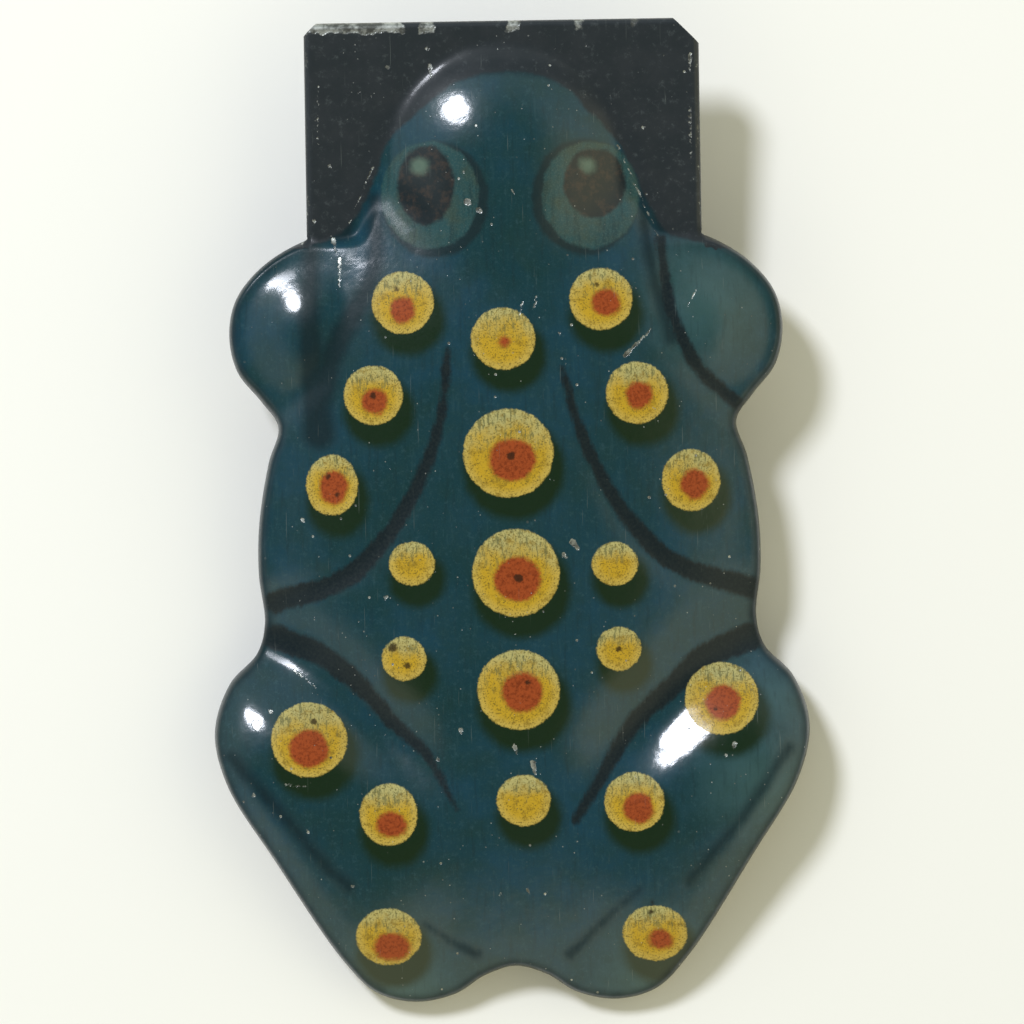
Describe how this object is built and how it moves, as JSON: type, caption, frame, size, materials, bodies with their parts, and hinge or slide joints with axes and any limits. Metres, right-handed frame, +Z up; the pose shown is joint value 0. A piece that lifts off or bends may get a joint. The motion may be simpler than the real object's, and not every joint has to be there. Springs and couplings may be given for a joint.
{
  "type": "tin frog clicker",
  "caption": "Pressed tinplate frog noisemaker with a folded front plate gripping a dished spring-steel strip that snaps when pressed.",
  "frame": {"origin": "under the middle of the toy, in the plane that its rim rests on", "axes": "+Y towards the frog's head and folded plate, +Z up through its back, +X to its right seen from above with the head up"},
  "size_m": [0.0462, 0.076, 0.0052],
  "materials": {
    "litho_tin": "dark teal lithographed tinplate under glossy, worn lacquer, with yellow and red spots",
    "spring_steel": "dull grey rolled spring steel with light age stains"
  },
  "bodies": {
    "shell": {"frog_shell": "litho_tin", "spring_clamped_end": "spring_steel"},
    "blade": {"spring_blade": "spring_steel"},
    "press_end": {"spring_press_end": "spring_steel"}
  },
  "joints": [
    {"name": "spring_flex", "type": "hinge", "parent": "shell", "child": "blade", "pos_m": [0, 0.02, 0.00153], "axis": [-1, 0, 0], "range_deg": [0, 1.5], "stiffness_Nm_per_rad": 0.3},
    {"name": "dish_snap", "type": "hinge", "parent": "blade", "child": "press_end", "pos_m": [0, 0, 0.00153], "axis": [-1, 0, 0], "range_deg": [0, 3.75]}
  ],
  "couplings": [
    {"joint": "dish_snap", "follows": "spring_flex", "ratio": 2.5}
  ]
}
